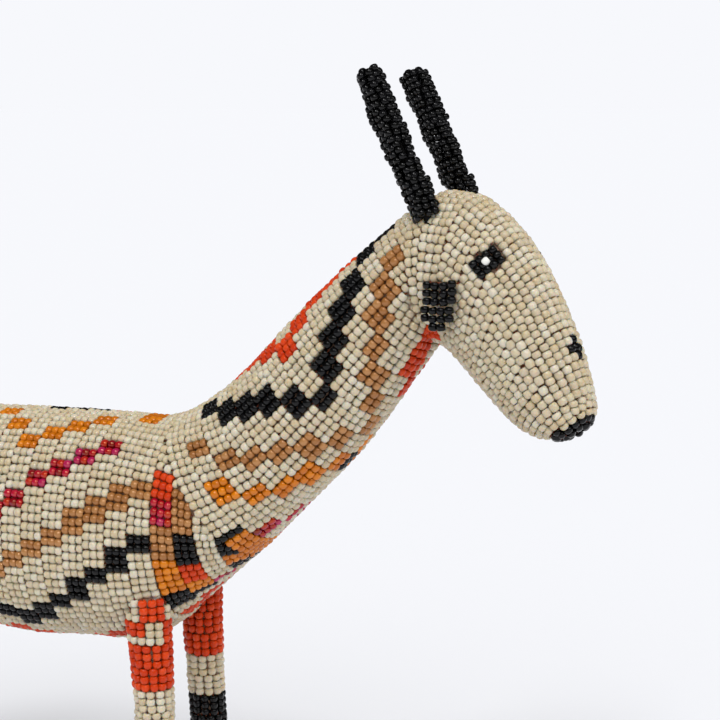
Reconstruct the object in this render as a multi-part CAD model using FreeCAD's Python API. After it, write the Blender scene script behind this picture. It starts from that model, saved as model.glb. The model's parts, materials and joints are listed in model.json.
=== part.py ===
import FreeCAD, Part
import math
import os

# Beaded antelope figure. Millimetres, +X towards the head, +Y the animal's left, +Z up, soles on z = 0.
# Every outline below is the outside of the beadwork. The layers lie inside it, one under another.

BEAD = 3.0               # bead diameter, which is the thickness of the bead skin
GAP = 0.1                # gap between neighbouring layers
SEAM = 0.1               # half the gap between two bead skins that meet at a seam
CLOTH = 0.5              # thickness of the cloth lining
SKIN_IN = BEAD
CLOTH_OUT = SKIN_IN + GAP
CLOTH_IN = CLOTH_OUT + CLOTH
STUFF_OUT = CLOTH_IN + GAP
LOFT_POINTS = 16         # points on each section of a loft
FAR = 500.0              # larger than the whole figure
MID_X = -9.8             # halfway from tail tip to nose in the coordinates below

# Trunk sections from rump to poll: top point (x, z), bottom point (x, z), half width
TRUNK = [
    ((-149, 136), (-149, 120), 7),
    ((-146, 145.5), (-146, 108.5), 15),
    ((-138, 156.5), (-139, 97), 24),
    ((-125, 162), (-127, 90), 29.5),
    ((-106, 163.2), (-107, 87), 31.5),
    ((-85, 163.5), (-85, 86), 31),
    ((-65, 163.2), (-65, 85.5), 31),
    ((-44, 163.7), (-44, 83.8), 32.5),
    ((-19, 163.8), (-19, 85.5), 33),
    ((-3, 163.5), (-1, 87.4), 32),
    ((2.5, 163.4), (13, 97.5), 30.5),
    ((6, 164), (25, 109), 28.5),
    ((13.2, 167.1), (40.8, 123), 25.5),
    ((22.1, 172.4), (52.3, 135), 23.5),
    ((36.4, 185.2), (68.6, 151.8), 22),
    ((53.8, 203.4), (85.6, 173.6), 20.5),
    ((66, 215), (94.3, 186), 19.5),
    ((76.7, 224.6), (104, 198), 18.8),
    ((87.2, 233.2), (112, 204.5), 18.6),
    ((99, 240.8), (120, 211), 18),
]

# Head sections from poll to nose, before the head is turned
HEAD = [
    ((83, 233.5), (93, 187), 17.6),
    ((94, 238.8), (98.5, 192.3), 18.2),
    ((111, 240.9), (105, 191), 18.6),
    ((123.4, 233), (110.5, 186.5), 18.2),
    ((131.8, 224.2), (115.2, 181.8), 17.4),
    ((138.5, 213.6), (119.8, 177.2), 16.3),
    ((144.2, 202.8), (124.6, 172.7), 15),
    ((149, 192.3), (129.6, 168.9), 13.6),
    ((152.4, 182.7), (135, 167), 11.8),
    ((153.8, 176.6), (140.3, 166.6), 9.3),
    ((152.3, 172.2), (143.7, 166), 6.6),
    ((150.2, 169.6), (146.3, 167.2), 3.2),
]

HEAD_TURN = 16.0         # the head looks this many degrees towards the animal's right
POLL_X = 99.0            # upright axis of that turn
THROAT = (99.0, 193.0)   # the poll seam starts here (x, z)
POLL_TILT = 8.0          # lean of the poll seam
SHOULDER_X = 11.0        # upright seam between the body and the shoulder gussets
NECK_SEAM = (16.0, 150.0)  # a point (x, z) on the slanting seam between gussets and neck
NECK_TILT = 33.0

LEG_Y = 20.0
FRONT_X = 4.0
HIND_X = -121.5
LEG_LEAN = 0.05          # forward travel of a front leg per mm down, and backward of a hind leg
LEG_TOP_Z = 114.0
LEG_PROFILE = [(LEG_TOP_Z, 8.4), (91, 7.6), (75, 7.0), (60, 6.8), (18, 6.7), (1.6, 7.5)]
BANDS = {
    "orange": [(75.0, 91.0), (18.0, 32.0)],
    "cream": [(60.5, 75.0), (32.0, 46.0)],
    "black": [(46.0, 60.5), (1.6, 18.0)],
}
COLLAR = (91.0, LEG_TOP_Z)  # cream, but orange on the left front leg
BAND_BOX = 40.0          # side of the box that cuts one band from a leg
BELOW_BELLY_Z = 70.0     # lower than the trunk
OVERSHOOT = 1.0          # a cutting column passes the ends of what it cuts by this much
SOLE_T = 1.5
SOLE_R = 7.0
SLEEVE_OUT = 3.9         # cloth sleeve on a leg
SLEEVE_IN = 3.4
PAD_R = 3.3
LEG_WIRE_R = 1.2
LEG_BEND_Z = 107.0       # the leg wires turn inwards here
LEG_WIRE_FOOT_Z = 3.0
WIRE_CLEAR = 0.15        # play round each wire
TIP_CLEAR = 1.0          # room past the end of a wire in a closed tube
SPINE_R = 1.5
SPINE_Z = 125.0
BUNDLE_Y = SPINE_R + LEG_WIRE_R + GAP
BUNDLE_RUN = 14.0        # length of a leg wire beside the spine
BUNDLE_ROOM = 18.0       # length of the hollow in the stuffing round that run
BUNDLE_PAST = 2.0        # of it, past the bend of the leg wires
BINDING_R = 0.5
BINDING_RING = 4.7       # centreline radius of the binding wire
BINDING_TURNS = 5
BINDING_PITCH = 1.3
BINDING_FROM = 4.0       # from the bend of the leg wires to the first turn

TAIL_ROOT = (-146.0, 140.0)
TAIL_TIP = (-168.0, 104.0)
TAIL_R = 4.4
TAIL_BEND = 1.9          # the spine wire bends this far inside the tail's root

HORN_Y = 12.5
HORN_ROOT = (103.0, 231.5)
HORN_TIP = (80.6, 277.4)
HORN_R = 4.9
HORN_WIRE_R = 1.2
HORN_WIRE_IN = 16.0      # length of the horn wire inside the head
HORN_WIRE_TOE = 4.0      # its inner end is this much nearer the head's middle
BORE_R = 1.9             # inside of a narrow bead tube

EYE = (125.4, 15.2, 220.6)  # on the left side, before the turn of the head
EYE_AIM = (0.12, 0.917, 0.38)  # square to the surface
EYE_CORNERS = [(-5.6, -1.6), (0.4, 4.7), (5.2, 1.2), (-1.0, -4.7)]
PUPIL_R = 1.3
NOSTRIL = (149.6, 7.2, 196.2)
NOSTRIL_AIM = (0.465, 0.66, 0.59)
NOSTRIL_SIDE = 5.2
PATCH_DEPTH = 7.0
PATCH_SMALL, PATCH_LARGE = 0.98, 1.02  # a patch and the hole it sits in
NOSE_PLANE = (140.0, 170.0)
NOSE_TILT = -64.0

# The spine wire from the rump to the poll, and on into the unturned head (x, z)
SPINE_TRUNK = [(-132.0, SPINE_Z), (2.0, SPINE_Z), (46.0, 162.0), (92.0, 212.0), (POLL_X, 216.0)]
SPINE_HEAD = [(120.0, 208.0), (138.0, 186.0)]

EAR_X = 112.1            # middle of the ear
EAR_HINGE_Z = 214.4
EAR_HINGE_Y = 20.9
EAR_T = 2.6
EAR_OUTLINE = [(-4.8, 1.2), (4.8, 1.2), (5.2, -6.5), (3.4, -11.0), (0.2, -15.0), (-3.2, -11.0), (-5.2, -6.5)]
EAR_BORE_R = 0.8
EAR_BORE = 30.0          # length of the tool that bores the ear
THREAD_R = 0.35
THREAD_OVER = 1.1        # thread showing past each side of the ear
THREAD_IN = 4.0          # from the hinge line to the thread's ends in the head


def vec(x, y, z):
    return FreeCAD.Vector(x, y, z)


def save(shape, name):
    """Writes one piece, with the figure's length centred on x = 0."""
    placed = shape.copy()
    placed.translate(vec(-MID_X, 0, 0))
    placed.exportStep("parts/" + name + ".step")


def turned(shape):
    """The shape after the turn of the head."""
    out = shape.copy()
    out.rotate(vec(POLL_X, 0, 0), vec(0, 0, 1), -HEAD_TURN)
    return out


def inward(before, point, after, side, t):
    """The point moved by t off the line between its neighbours, to the given side."""
    dx, dz = after[0] - before[0], after[1] - before[1]
    size = math.hypot(dx, dz)
    return (point[0] + side * t * dz / size, point[1] - side * t * dx / size)


def inset(sections, t, closed_first, closed_last):
    """The sections of a layer that lies t inside the outline."""
    out = []
    last = len(sections) - 1
    for i, (top, bottom, w) in enumerate(sections):
        before = sections[max(i - 1, 0)]
        after = sections[min(i + 1, last)]
        top_before, bottom_before = before[0], before[1]
        top_after, bottom_after = after[0], after[1]
        if i == 0 and closed_first:
            top_before, bottom_before = bottom, top
        if i == last and closed_last:
            top_after, bottom_after = bottom, top
        run = math.hypot(after[0][0] + after[1][0] - before[0][0] - before[1][0],
                         after[0][1] + after[1][1] - before[0][1] - before[1][1]) / 2
        level = run / math.hypot(run, after[2] - before[2])
        new_top = inward(top_before, top, top_after, 1, t)
        new_bottom = inward(bottom_before, bottom, bottom_after, -1, t)
        out.append((new_top, new_bottom, w - t * level))
    return out


def section_wire(top, bottom, w):
    """A closed smooth curve through an ellipse that stands on the line from bottom to top."""
    middle = ((top[0] + bottom[0]) / 2, (top[1] + bottom[1]) / 2)
    half = ((top[0] - bottom[0]) / 2, (top[1] - bottom[1]) / 2)
    points = []
    for k in range(LOFT_POINTS):
        a = 2 * math.pi * k / LOFT_POINTS
        c = math.cos(a)
        points.append(vec(middle[0] + half[0] * c, w * math.sin(a), middle[1] + half[1] * c))
    curve = Part.BSplineCurve()
    curve.interpolate(points, PeriodicFlag=True)
    return Part.Wire(curve.toShape())


def trunk(t):
    """The trunk and neck, t inside the outline. A layer under the beads stops short of the rump."""
    sections = inset(TRUNK, t, True, False)
    if t > 0:
        sections = sections[1:]
    return Part.makeLoft([section_wire(*s) for s in sections], True, False)


def head(t):
    """The head, t inside the outline. A layer under the beads stops short of the nose."""
    sections = inset(HEAD, t, False, True)
    if t > 0:
        sections = sections[:-1]
    return turned(Part.makeLoft([section_wire(*s) for s in sections], True, False))


def half_space(point, tilt, ahead, shift, turn=0.0):
    """A large box ahead of, or behind, a leaning plane through (x, z), moved by shift along its normal."""
    box = Part.makeBox(FAR, 2 * FAR, 2 * FAR, vec(0 if ahead else -FAR, -FAR, -FAR))
    box.translate(vec(shift, 0, 0))
    box.rotate(vec(0, 0, 0), vec(0, 1, 0), -tilt)
    box.rotate(vec(0, 0, 0), vec(0, 0, 1), -turn)
    box.translate(vec(point[0], 0, point[1]))
    return box


def body_zone():
    return half_space((SHOULDER_X, 0), 0, False, -SEAM)


def gusset_zone(side):
    zone = half_space((SHOULDER_X, 0), 0, True, SEAM)
    zone = zone.common(half_space(NECK_SEAM, NECK_TILT, False, -SEAM))
    half = Part.makeBox(2 * FAR, FAR, 2 * FAR, vec(-FAR, SEAM if side > 0 else -FAR - SEAM, -FAR))
    return zone.common(half)


def neck_zone():
    zone = half_space((SHOULDER_X, 0), 0, True, SEAM)
    zone = zone.common(half_space(NECK_SEAM, NECK_TILT, True, SEAM))
    return zone.common(half_space(THROAT, POLL_TILT, False, -SEAM, HEAD_TURN / 2))


def torso_zone():
    """Body and neck together, up to a slanting plane at the base of the neck."""
    return half_space(NECK_SEAM, NECK_TILT, False, -SEAM)


def upper_zone():
    zone = half_space(NECK_SEAM, NECK_TILT, True, SEAM)
    return zone.common(half_space(THROAT, POLL_TILT, False, -SEAM, HEAD_TURN / 2))


def head_zone():
    return half_space(THROAT, POLL_TILT, True, SEAM, HEAD_TURN / 2)


def rod(points, r):
    """A round wire along straight runs with round elbows."""
    shape = Part.makeSphere(r, points[0])
    for a, b in zip(points, points[1:]):
        shape = shape.fuse(Part.makeCylinder(r, (b - a).Length, a, b - a))
        shape = shape.fuse(Part.makeSphere(r, b))
    return shape.removeSplitter()


def leg_x(root_x, z):
    lean = LEG_LEAN if root_x > 0 else -LEG_LEAN
    return root_x + lean * (LEG_TOP_Z - z)


def leg_solid(root_x, side, profile):
    """A leg-shaped solid through (z, radius) pairs, with level ends."""
    pieces = None
    for (z1, r1), (z2, r2) in zip(profile, profile[1:]):
        low = Part.Wire(Part.makeCircle(r2, vec(leg_x(root_x, z2), side * LEG_Y, z2)))
        high = Part.Wire(Part.makeCircle(r1, vec(leg_x(root_x, z1), side * LEG_Y, z1)))
        piece = Part.makeLoft([low, high], True, True)
        pieces = piece if pieces is None else pieces.fuse(piece)
    return pieces.removeSplitter()


def leg_column(root_x, side, r, low, high):
    return leg_solid(root_x, side, [(high, r), (low, r)])


def leg_wire_path(root_x, side):
    along = -BUNDLE_RUN if root_x > 0 else BUNDLE_RUN
    start = leg_x(root_x, LEG_BEND_Z)
    return [
        vec(leg_x(root_x, LEG_WIRE_FOOT_Z), side * LEG_Y, LEG_WIRE_FOOT_Z),
        vec(start, side * LEG_Y, LEG_BEND_Z),
        vec(start, side * BUNDLE_Y, SPINE_Z),
        vec(start + along, side * BUNDLE_Y, SPINE_Z),
    ]


def head_point(x, y, z):
    """A point given in the unturned head, after the turn."""
    a = math.radians(-HEAD_TURN)
    dx = x - POLL_X
    return vec(POLL_X + dx * math.cos(a) - y * math.sin(a), dx * math.sin(a) + y * math.cos(a), z)


def short_of(end, start, by):
    """The (x, z) on the line from start to end that is by before the end, or past it if by is negative."""
    dx, dz = end[0] - start[0], end[1] - start[1]
    size = math.hypot(dx, dz)
    return (end[0] - by * dx / size, end[1] - by * dz / size)


def spine_path():
    end = short_of(TAIL_TIP, TAIL_ROOT, BEAD + SPINE_R + TIP_CLEAR)
    bend = short_of(TAIL_ROOT, TAIL_TIP, -TAIL_BEND)
    path = [vec(x, 0, z) for x, z in [end, bend] + SPINE_TRUNK]
    return path + [head_point(x, 0, z) for x, z in SPINE_HEAD]


def horn_path(side):
    inside = short_of(HORN_ROOT, HORN_TIP, -HORN_WIRE_IN)
    end = short_of(HORN_TIP, HORN_ROOT, BEAD + HORN_WIRE_R + TIP_CLEAR)
    return [
        head_point(inside[0], side * (HORN_Y - HORN_WIRE_TOE), inside[1]),
        head_point(HORN_ROOT[0], side * HORN_Y, HORN_ROOT[1]),
        head_point(end[0], side * HORN_Y, end[1]),
    ]


def tube(start, end, outer):
    """A straight narrow bead tube. Its far end is closed by one bead's thickness."""
    aim = end - start
    solid = Part.makeCylinder(outer, aim.Length, start, aim)
    return solid.cut(Part.makeCylinder(BORE_R, aim.Length - BEAD, start, aim))


def along_and_up(aim):
    """Two directions square to aim: the first runs towards the nose as nearly as it can, the second upwards."""
    along = vec(1, 0, 0) - aim * aim.x
    along.normalize()
    up = aim.cross(along)
    return along, up if up.z > 0 else -up


def aimed(centre, aim, side):
    """A place on the head and the way its surface faces, on the given side."""
    where = vec(centre[0], side * centre[1], centre[2])
    facing = vec(aim[0], side * aim[1], aim[2])
    facing.normalize()
    return where, facing


def aimed_prism(centre, aim, side, corners, scale):
    """A prism through the skin, square to it, with the given corners seen from outside."""
    where, facing = aimed(centre, aim, side)
    along, up = along_and_up(facing)
    base = [where + along * (a * scale) + up * (b * scale) - facing * PATCH_DEPTH for a, b in corners]
    face = Part.Face(Part.makePolygon(base + base[:1]))
    return turned(face.extrude(facing * (2 * PATCH_DEPTH)))


def eye_prism(side, scale):
    return aimed_prism(EYE, EYE_AIM, side, EYE_CORNERS, scale)


def nostril_prism(side, scale):
    h = NOSTRIL_SIDE / 2
    return aimed_prism(NOSTRIL, NOSTRIL_AIM, side, [(-h, -h), (h, -h), (h, h), (-h, h)], scale)


def pupil_rod(side, r):
    where, facing = aimed(EYE, EYE_AIM, side)
    return turned(Part.makeCylinder(r, 2 * PATCH_DEPTH, where - facing * PATCH_DEPTH, facing))


def ear(side):
    """A flat leaf of beads. Its top row of beads is threaded along the hinge line."""
    outline = [vec(EAR_X + x, side * EAR_HINGE_Y - EAR_T / 2, EAR_HINGE_Z + z) for x, z in EAR_OUTLINE]
    leaf = Part.Face(Part.makePolygon(outline + outline[:1])).extrude(vec(0, EAR_T, 0))
    bore_end = vec(EAR_X - EAR_BORE / 2, side * EAR_HINGE_Y, EAR_HINGE_Z)
    bore = Part.makeCylinder(EAR_BORE_R, EAR_BORE, bore_end, vec(1, 0, 0))
    return turned(leaf.cut(bore))


def ear_thread(side):
    """The sewing thread: through the ear's top row, then back into the head at both ends."""
    half = EAR_OUTLINE[1][0] + THREAD_OVER
    deep = EAR_HINGE_Y - THREAD_IN
    points = []
    for x, y in ((-half, deep), (-half, EAR_HINGE_Y), (half, EAR_HINGE_Y), (half, deep)):
        points.append(head_point(EAR_X + x, side * y, EAR_HINGE_Z))
    return rod(points, THREAD_R)


def binding(root_x):
    """Turns of thin wire round the spine and the two leg wires."""
    start = leg_x(root_x, LEG_BEND_Z) + (-BINDING_FROM if root_x > 0 else BINDING_FROM)
    step = -BINDING_PITCH if root_x > 0 else BINDING_PITCH
    rings = []
    for k in range(BINDING_TURNS):
        rings.append(Part.makeTorus(BINDING_RING, BINDING_R, vec(start + k * step, 0, SPINE_Z), vec(1, 0, 0)))
    return Part.makeCompound(rings)


def binding_room(root_x):
    """The room that the wire bundle takes inside the stuffing."""
    start = leg_x(root_x, LEG_BEND_Z) - (BUNDLE_ROOM - BUNDLE_PAST if root_x > 0 else BUNDLE_PAST)
    r = BINDING_RING + BINDING_R + WIRE_CLEAR
    return Part.makeCylinder(r, BUNDLE_ROOM, vec(start, 0, SPINE_Z), vec(1, 0, 0))


LEGS = {
    "right_front": (FRONT_X, -1),
    "left_front": (FRONT_X, 1),
    "right_hind": (HIND_X, -1),
    "left_hind": (HIND_X, 1),
}
SIDES = {"right": -1, "left": 1}


def cut_all(shape, tools):
    for tool in tools:
        shape = shape.cut(tool)
    return shape


def wires():
    save(rod(spine_path(), SPINE_R), "spine_wire")
    for name, (x, side) in LEGS.items():
        save(rod(leg_wire_path(x, side), LEG_WIRE_R), name + "_leg_wire")
    save(binding(FRONT_X), "front_binding_wire")
    save(binding(HIND_X), "rear_binding_wire")
    for name, side in SIDES.items():
        save(rod(horn_path(side), HORN_WIRE_R), name + "_horn_wire")


def wire_room():
    """The room that each wire takes in the layers round it."""
    return {
        "spine": [rod(spine_path(), SPINE_R + WIRE_CLEAR)],
        "legs": [rod(leg_wire_path(x, side), LEG_WIRE_R + WIRE_CLEAR) for x, side in LEGS.values()],
        "horns": [rod(horn_path(side), HORN_WIRE_R + WIRE_CLEAR) for side in SIDES.values()],
    }


def filling(room):
    inner = trunk(STUFF_OUT)
    bundles = [binding_room(FRONT_X), binding_room(HIND_X)]
    save(cut_all(inner.common(torso_zone()), room["spine"] + room["legs"] + bundles), "body_stuffing")
    save(cut_all(inner.common(upper_zone()), room["spine"]), "neck_stuffing")
    save(cut_all(head(STUFF_OUT).common(head_zone()), room["spine"] + room["horns"]), "head_stuffing")


def lining(room):
    sleeve = trunk(CLOTH_OUT).cut(trunk(CLOTH_IN))
    save(cut_all(sleeve.common(torso_zone()), room["spine"] + room["legs"]), "body_lining")
    save(sleeve.common(upper_zone()), "neck_lining")
    hood = head(CLOTH_OUT).common(head_zone()).cut(head(CLOTH_IN).common(head_zone()))
    save(cut_all(hood, room["horns"]), "head_lining")


def trunk_beads(room):
    skin = trunk(0).cut(trunk(SKIN_IN))
    sleeves = [leg_column(x, side, SLEEVE_OUT + GAP, BELOW_BELLY_Z, LEG_TOP_Z) for x, side in LEGS.values()]
    save(cut_all(skin.common(body_zone()), sleeves + room["spine"]), "body_beads")
    for name, side in SIDES.items():
        save(cut_all(skin.common(gusset_zone(side)), sleeves), name + "_shoulder_gusset_beads")
    save(skin.common(neck_zone()), "neck_beads")


def head_beads(room):
    skin = head(0).cut(head(SKIN_IN)).common(head_zone())
    nose_at = half_space(NOSE_PLANE, NOSE_TILT, True, SEAM)
    face_at = half_space(NOSE_PLANE, NOSE_TILT, False, -SEAM)
    save(skin.common(turned(nose_at)), "nose_beads")
    face = cut_all(skin.common(turned(face_at)), room["horns"])
    for name, side in SIDES.items():
        eye = skin.common(eye_prism(side, PATCH_SMALL))
        save(eye.cut(pupil_rod(side, PUPIL_R + GAP)), name + "_eye_beads")
        save(skin.common(pupil_rod(side, PUPIL_R)), name + "_pupil_bead")
        save(skin.common(nostril_prism(side, PATCH_SMALL)), name + "_nostril_beads")
        face = cut_all(face, [eye_prism(side, PATCH_LARGE), nostril_prism(side, PATCH_LARGE)])
    save(face, "head_beads")


def horns():
    inside = [head(-GAP), trunk(-GAP)]
    for name, side in SIDES.items():
        start = head_point(HORN_ROOT[0], side * HORN_Y, HORN_ROOT[1])
        end = head_point(HORN_TIP[0], side * HORN_Y, HORN_TIP[1])
        save(cut_all(tube(start, end, HORN_R), inside), name + "_horn_beads")


def ears():
    solid_head = head(0)
    for name, side in SIDES.items():
        save(ear(side), name + "_ear")
        save(ear_thread(side).cut(solid_head), name + "_ear_thread")


def tail():
    start = vec(TAIL_ROOT[0], 0, TAIL_ROOT[1])
    end = vec(TAIL_TIP[0], 0, TAIL_TIP[1])
    save(tube(start, end, TAIL_R).cut(trunk(-GAP)), "tail_beads")


def band_spans(name, colour):
    """The level spans of one bead colour on the named leg."""
    collar_colour = "orange" if name == "left_front" else "cream"
    return BANDS[colour] + ([COLLAR] if colour == collar_colour else [])


def legs():
    outside = trunk(-GAP)
    over_cloth = trunk(CLOTH_OUT - GAP)
    for name, (x, side) in LEGS.items():
        whole = leg_solid(x, side, LEG_PROFILE).cut(outside)
        whole = whole.cut(leg_column(x, side, SLEEVE_OUT + GAP, -OVERSHOOT, LEG_TOP_Z + OVERSHOOT))
        for colour in BANDS:
            rings = []
            for low, high in band_spans(name, colour):
                corner = vec(x - BAND_BOX / 2, side * LEG_Y - BAND_BOX / 2, low + SEAM)
                rings.append(whole.common(Part.makeBox(BAND_BOX, BAND_BOX, high - low - 2 * SEAM, corner)))
            solids = [s for ring in rings for s in ring.Solids]
            save(Part.makeCompound(solids), name + "_leg_" + colour + "_beads")
        foot = SOLE_T + GAP
        sleeve = leg_column(x, side, SLEEVE_OUT, foot, LEG_TOP_Z)
        sleeve = sleeve.cut(leg_column(x, side, SLEEVE_IN, 0, LEG_TOP_Z + OVERSHOOT))
        save(sleeve.cut(over_cloth), name + "_leg_lining")
        pad = leg_column(x, side, PAD_R, foot, LEG_TOP_Z)
        wire = rod(leg_wire_path(x, side), LEG_WIRE_R + WIRE_CLEAR)
        save(pad.cut(over_cloth).cut(wire), name + "_leg_padding")
        save(leg_column(x, side, SOLE_R, 0, SOLE_T), name + "_sole")


def main():
    os.makedirs("parts", exist_ok=True)
    room = wire_room()
    wires()
    filling(room)
    lining(room)
    trunk_beads(room)
    head_beads(room)
    horns()
    ears()
    tail()
    legs()


main()
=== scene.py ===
import json
import math

import bpy
import numpy as np
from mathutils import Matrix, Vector
from mathutils.bvhtree import BVHTree


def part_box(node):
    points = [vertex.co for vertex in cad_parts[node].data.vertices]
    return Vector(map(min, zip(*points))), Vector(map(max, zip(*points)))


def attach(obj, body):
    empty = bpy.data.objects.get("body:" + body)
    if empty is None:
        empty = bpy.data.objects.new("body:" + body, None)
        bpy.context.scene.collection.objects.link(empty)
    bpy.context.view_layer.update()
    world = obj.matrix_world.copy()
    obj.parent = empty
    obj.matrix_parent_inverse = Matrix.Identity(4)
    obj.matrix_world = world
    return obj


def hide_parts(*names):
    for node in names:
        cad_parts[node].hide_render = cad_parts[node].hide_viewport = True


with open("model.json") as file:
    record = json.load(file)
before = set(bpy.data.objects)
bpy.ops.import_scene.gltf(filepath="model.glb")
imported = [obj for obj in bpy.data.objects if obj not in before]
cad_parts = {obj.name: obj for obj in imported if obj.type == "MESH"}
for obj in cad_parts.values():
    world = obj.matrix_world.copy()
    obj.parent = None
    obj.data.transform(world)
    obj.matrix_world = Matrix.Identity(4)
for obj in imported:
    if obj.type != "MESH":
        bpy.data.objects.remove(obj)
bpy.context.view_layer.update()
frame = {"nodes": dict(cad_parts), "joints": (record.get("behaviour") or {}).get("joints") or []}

# Places and sizes are in millimetres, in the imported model's frame, until a mesh is made.
MM = 0.001
rng = np.random.default_rng(38)

BEAD = 3.0               # bead diameter
WIDE = 3.08              # width of a bead in a row, a little more than the row's spacing, so that beads touch
LONG = 2.5               # bead length along its hole
ROW = 2.93               # spacing of the sticks of beads round a limb
STICK = 3 * LONG         # a stick is three beads on one stretch of thread
RAYS = 144               # directions searched for the skin round a limb
REACH = 130.0            # the search starts this far from a limb's middle
INSET = 0.4              # a cut this far inside a node's end still meets its skin
HOLE_BELOW = 0.55        # a skin nearer than this share of the usual distance is seen through a hole
SHORTEST_STICK = 0.4     # in bead lengths: a shorter stretch gets no bead
FORWARD = Vector((1, 0, 0))
UP = Vector((0, 0, 1))
TO_RIGHT = Vector((0, -1, 0))

# Unevenness of the beads, as standard deviations in millimetres unless the name says otherwise
STICK_SLIDE, STICK_LIFT, STICK_SHIFT = 0.10, 0.09, 0.05
BEAD_LIFT, BEAD_SHIFT, BEAD_LEAN = 0.06, 0.07, 0.05
WIDTH_SPREAD, WIDTH_RANGE = 0.03, (0.93, 1.06)      # shares of the width
LENGTH_SPREAD, LENGTH_RANGE = 0.04, (0.88, 1.06)    # shares of the length
LONGEST_BEAD = 1.12      # in usual bead lengths

# ---------------------------------------------------------------- camera, light and floor

CAMERA_TARGET = (81.8, 0.0, 186.0)
CAMERA_AZIMUTH = 20.0
CAMERA_ELEVATION = 8.5
CAMERA_DISTANCE = 545.0
CAMERA_LENS = 84.7
SENSOR = 36.0
LAMP_DISTANCE = 1000.0
FLOOR_HALF = 200.0       # metres
# Name, azimuth, elevation and spread in degrees, strength
SUNS = [("key_light", 14, 46, 42, 0.85), ("nose_light", 62, 36, 26, 0.5), ("sparkle_light", -4, 52, 12, 0.6)]
CAST_STRENGTH = 0.86
MIRRORED_STRENGTH = 0.1


def aimed(obj, target):
    """Points an object's -Z axis at the target."""
    obj.rotation_euler = (Vector(target) * MM - obj.location).to_track_quat("-Z", "Y").to_euler()
    bpy.context.scene.collection.objects.link(obj)
    return obj


def place_round(target, azimuth, elevation, distance):
    a, e = math.radians(azimuth), math.radians(elevation)
    away = Vector((math.sin(a) * math.cos(e), -math.cos(a) * math.cos(e), math.sin(e)))
    return (Vector(target) + away * distance) * MM


def make_camera():
    data = bpy.data.cameras.new("camera")
    data.lens = CAMERA_LENS
    data.sensor_width = SENSOR
    data.clip_start = 0.01
    camera = bpy.data.objects.new("camera", data)
    camera.location = place_round(CAMERA_TARGET, CAMERA_AZIMUTH, CAMERA_ELEVATION, CAMERA_DISTANCE)
    aimed(camera, CAMERA_TARGET)
    bpy.context.scene.camera = camera


def soft_sun(name, azimuth, elevation, spread, strength):
    """Light of the same strength everywhere, from a bright disc that is spread degrees across."""
    data = bpy.data.lights.new(name, "SUN")
    data.angle = math.radians(spread)
    data.energy = strength
    lamp = bpy.data.objects.new(name, data)
    lamp.location = place_round(CAMERA_TARGET, azimuth, elevation, LAMP_DISTANCE)
    aimed(lamp, CAMERA_TARGET)


def make_light():
    """A white backdrop that casts a softer light than it looks, and a darker room in the reflections."""
    world = bpy.data.worlds.new("studio")
    bpy.context.scene.world = world
    world.use_nodes = True
    nodes, links = world.node_tree.nodes, world.node_tree.links
    seen = nodes["Background"]
    cast, mirrored = (nodes.new("ShaderNodeBackground") for _ in range(2))
    seen.inputs["Color"].default_value = (0.930, 0.939, 0.974, 1)
    cast.inputs["Color"].default_value = (1.0, 0.99, 0.97, 1)
    cast.inputs["Strength"].default_value = CAST_STRENGTH
    mirrored.inputs["Strength"].default_value = MIRRORED_STRENGTH
    path = nodes.new("ShaderNodeLightPath")
    lamp, either = nodes.new("ShaderNodeMixShader"), nodes.new("ShaderNodeMixShader")
    links.new(path.outputs["Is Glossy Ray"], lamp.inputs["Fac"])
    links.new(cast.outputs["Background"], lamp.inputs[1])
    links.new(mirrored.outputs["Background"], lamp.inputs[2])
    links.new(path.outputs["Is Camera Ray"], either.inputs["Fac"])
    links.new(lamp.outputs["Shader"], either.inputs[1])
    links.new(seen.outputs["Background"], either.inputs[2])
    links.new(either.outputs["Shader"], nodes["World Output"].inputs["Surface"])
    for sun in SUNS:
        soft_sun(*sun)
    bpy.context.scene.view_settings.view_transform = "Standard"


def make_floor():
    half = FLOOR_HALF
    mesh = bpy.data.meshes.new("floor")
    corners = [(-half, -half, 0), (half, -half, 0), (half, half, 0), (-half, half, 0)]
    mesh.from_pydata(corners, [], [(0, 1, 2, 3)])
    floor = bpy.data.objects.new("floor", mesh)
    bpy.context.scene.collection.objects.link(floor)
    mesh.materials.append(plain("floor_white", (0.717, 0.729, 0.767), roughness=1.0, specular=0.0))


# ---------------------------------------------------------------- materials

def plain(name, colour, roughness=0.3, specular=0.5, metallic=0.0, coat=0.0, film=0.0, glow=0.0):
    """A smooth material. Light goes a little way into it and comes out again if glow is more than 0."""
    material = bpy.data.materials.new(name)
    material.use_nodes = True
    shader = material.node_tree.nodes["Principled BSDF"]
    shader.inputs["Base Color"].default_value = (*colour, 1)
    shader.inputs["Roughness"].default_value = roughness
    shader.inputs["Specular IOR Level"].default_value = specular
    shader.inputs["Metallic"].default_value = metallic
    shader.inputs["Coat Weight"].default_value = coat
    shader.inputs["Coat Roughness"].default_value = 0.08
    shader.inputs["Thin Film Thickness"].default_value = film
    shader.inputs["Subsurface Weight"].default_value = glow
    shader.inputs["Subsurface Scale"].default_value = 0.0018
    shader.inputs["Subsurface Radius"].default_value = (1.0, 0.6, 0.3)
    return material


def roughened(material, kind, scale, strength, distance):
    """The material with a fine relief: kind is Noise, or Wave for a twist or a grain with a direction."""
    nodes, links = material.node_tree.nodes, material.node_tree.links
    place, relief, bump = (nodes.new(f"ShaderNode{name}") for name in ("TexCoord", f"Tex{kind}", "Bump"))
    relief.inputs["Scale"].default_value = scale
    relief.inputs["Detail"].default_value = 1.0
    bump.inputs["Strength"].default_value = strength
    bump.inputs["Distance"].default_value = distance
    links.new(place.outputs["Object"], relief.inputs["Vector"])
    links.new(relief.outputs["Fac"], bump.inputs["Height"])
    links.new(bump.outputs["Normal"], nodes["Principled BSDF"].inputs["Normal"])
    return material


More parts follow.
